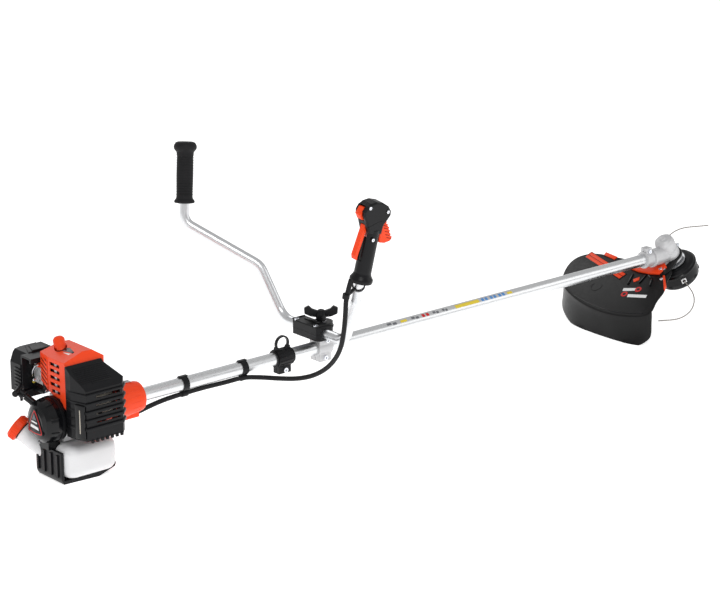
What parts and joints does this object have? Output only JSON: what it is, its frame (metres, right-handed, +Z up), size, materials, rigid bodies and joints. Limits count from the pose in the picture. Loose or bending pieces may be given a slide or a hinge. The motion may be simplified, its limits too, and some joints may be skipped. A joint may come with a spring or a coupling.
{
  "type": "brush cutter",
  "caption": "Petrol brush cutter with bull-horn handlebar, long drive tube, bevel gear case, string head and debris guard.",
  "frame": {"origin": "centre of the stand's flat foot, on the floor", "axes": "+X forwards along the machine to the cutting head, +Y to the operator's left, +Z up"},
  "size_m": [1.9719, 0.6667, 0.5533],
  "materials": {
    "bare_tube": "silver anodised tube",
    "cast_alloy": "sand-blasted die casting",
    "steel": "machined steel",
    "screw_zinc": "zinc plated",
    "orange_shell": "orange moulded",
    "black_shell": "black moulded",
    "black_rubber": "soft black",
    "tank_white": "translucent white",
    "foam": "filter foam",
    "nylon_line": "twisted nylon line"
  },
  "bodies": {
    "machine": {"main_tube": "bare_tube", "shaft_bearings": "steel", "cable_clips": "black_shell", "hanger_clamp": "black_shell", "bracket_casting": "cast_alloy", "control_cable": "black_rubber", "clutch_case": "orange_shell", "crankcase": "cast_alloy", "cylinder": "cast_alloy", "piston": "cast_alloy", "engine_cover": "orange_shell", "spark_plug": "steel", "spark_plug_cap": "orange_shell", "muffler": "steel", "muffler_cover": "black_shell", "intake_insulator": "black_shell", "carburettor": "cast_alloy", "air_cleaner_base": "black_shell", "air_cleaner_cover": "black_shell", "air_filter": "foam", "starter_housing": "black_shell", "starter_rope": "nylon_line", "fuel_tank": "tank_white", "tank_stand": "black_shell", "gear_case": "cast_alloy", "guard_bracket": "orange_shell", "guard": "black_shell", "line_cutter": "steel", "machine_screws": "screw_zinc"},
    "handlebar_unit": {"mount_lower": "black_shell", "mount_cap": "black_shell", "handlebar": "bare_tube", "left_grip": "black_rubber", "throttle_housing": "black_shell", "handle_screws": "screw_zinc", "bar_cable_clip": "black_shell"},
    "clamp_washer": {"clamp_washer": "steel"},
    "clamp_knob": {"clamp_knob": "black_shell"},
    "throttle_trigger": {"throttle_trigger": "orange_shell"},
    "lockout_lever": {"lockout_lever": "orange_shell"},
    "stop_switch": {"stop_switch": "orange_shell"},
    "driveline": {"drive_shaft": "steel", "clutch_drum": "steel", "pinion_gear": "steel"},
    "cutter_head": {"output_gear": "steel", "holder_plate": "steel", "head_shell": "black_shell", "trimmer_lines": "nylon_line"},
    "spool_knob": {"spool_knob": "black_shell"},
    "crank_train": {"crankshaft": "steel", "flywheel_fan": "cast_alloy", "clutch_shoes": "steel"},
    "starter_reel": {"starter_reel": "black_shell"},
    "starter_handle": {"starter_handle": "black_shell"},
    "fuel_cap_gasket": {"fuel_cap_gasket": "black_rubber"},
    "fuel_cap": {"fuel_cap": "orange_shell"},
    "primer_bulb": {"primer_bulb": "black_rubber"},
    "choke_lever": {"choke_lever": "black_shell"},
    "air_cleaner_knob": {"air_cleaner_knob": "black_shell"},
    "throttle_valve_lever": {"throttle_valve_lever": "steel"}
  },
  "joints": [
    {"name": "handlebar_swing", "type": "hinge", "parent": "machine", "child": "handlebar_unit", "pos_m": [0.64516, 0.002, 0.17592], "axis": [-0.0323, 0, 0.9995], "range_deg": [-60, 0], "deforming": ["control_cable"]},
    {"name": "clamp_turn", "type": "hinge", "parent": "clamp_washer", "child": "clamp_knob", "pos_m": [0.64419, 0.002, 0.2059], "axis": [-0.0323, 0, 0.9995], "range_deg": [0, 720]},
    {"name": "clamp_lift", "type": "slide", "parent": "machine", "child": "clamp_washer", "axis": [-0.0323, 0, 0.9995], "range_m": [0, 0.00251]},
    {"name": "throttle_pull", "type": "hinge", "parent": "handlebar_unit", "child": "throttle_trigger", "pos_m": [0.53767, -0.31025, 0.50413], "axis": [-0.0043, 0.9912, 0.1325], "range_deg": [0, 15], "stiffness_Nm_per_rad": 0.6, "springref_deg": -20.05},
    {"name": "valve_turn", "type": "hinge", "parent": "machine", "child": "throttle_valve_lever", "pos_m": [-0.00281, 0.066, 0.21102], "axis": [-0.0323, 0, 0.9995], "range_deg": [-46, 0]},
    {"name": "lockout_press", "type": "hinge", "parent": "handlebar_unit", "child": "lockout_lever", "pos_m": [0.49243, -0.30994, 0.50038], "axis": [0.0043, -0.9912, -0.1325], "range_deg": [0, 7], "stiffness_Nm_per_rad": 0.4, "springref_deg": -17.19},
    {"name": "stop_rock", "type": "hinge", "parent": "handlebar_unit", "child": "stop_switch", "pos_m": [0.48316, -0.31373, 0.52839], "axis": [-0.0043, 0.9912, 0.1325], "range_deg": [0, 12]},
    {"name": "head_spin", "type": "hinge", "parent": "machine", "child": "cutter_head", "pos_m": [1.70907, 0.002, 0.18027], "axis": [-0.5277, 0, 0.8494], "continuous": true},
    {"name": "drive_spin", "type": "hinge", "parent": "machine", "child": "driveline", "pos_m": [0.17187, 0.002, 0.13062], "axis": [0.9995, 0, 0.0323], "continuous": true},
    {"name": "spool_tap", "type": "slide", "parent": "cutter_head", "child": "spool_knob", "axis": [-0.5277, 0, 0.8494], "range_m": [0, 0.004], "stiffness_N_per_m": 1500, "springref_m": -0.01},
    {"name": "crank_spin", "type": "hinge", "parent": "machine", "child": "crank_train", "pos_m": [-0.00004, 0.002, 0.12506], "axis": [0.9995, 0, 0.0323], "continuous": true},
    {"name": "starter_pull", "type": "slide", "parent": "machine", "child": "starter_handle", "axis": [-0.5387, 0.5993, 0.5922], "range_m": [0, 0.6], "stiffness_N_per_m": 15, "springref_m": -0.3, "deforming": ["starter_rope"]},
    {"name": "reel_turn", "type": "hinge", "parent": "machine", "child": "starter_reel", "pos_m": [-0.05801, 0.002, 0.12319], "axis": [0.9995, 0, 0.0323], "range_deg": [0, 1376]},
    {"name": "cap_turn", "type": "hinge", "parent": "fuel_cap_gasket", "child": "fuel_cap", "pos_m": [-0.05888, 0.07668, 0.0836], "axis": [-0.4803, 0.6703, 0.5657], "range_deg": [0, 540]},
    {"name": "cap_lift", "type": "slide", "parent": "machine", "child": "fuel_cap_gasket", "axis": [-0.4803, 0.6703, 0.5657], "range_m": [0, 0.00601]},
    {"name": "primer_press", "type": "slide", "parent": "machine", "child": "primer_bulb", "axis": [-0.0323, 0, 0.9995], "range_m": [0, 0.003], "stiffness_N_per_m": 800, "springref_m": -0.002},
    {"name": "choke_turn", "type": "hinge", "parent": "machine", "child": "choke_lever", "pos_m": [-0.02512, 0.087, 0.15827], "axis": [0, 1, 0], "range_deg": [0, 60]},
    {"name": "filter_knob_turn", "type": "hinge", "parent": "machine", "child": "air_cleaner_knob", "pos_m": [-0.0023, 0.12, 0.19503], "axis": [0, 1, 0], "range_deg": [0, 90]}
  ],
  "couplings": [
    {"joint": "clamp_lift", "follows": "clamp_turn", "m_per_rad": 0.00019894},
    {"joint": "cap_lift", "follows": "cap_turn", "m_per_rad": 0.00063662},
    {"joint": "valve_turn", "follows": "throttle_pull", "ratio": -3},
    {"joint": "drive_spin", "follows": "head_spin", "ratio": 1.3333},
    {"joint": "reel_turn", "follows": "starter_pull", "rad_per_m": 40}
  ]
}
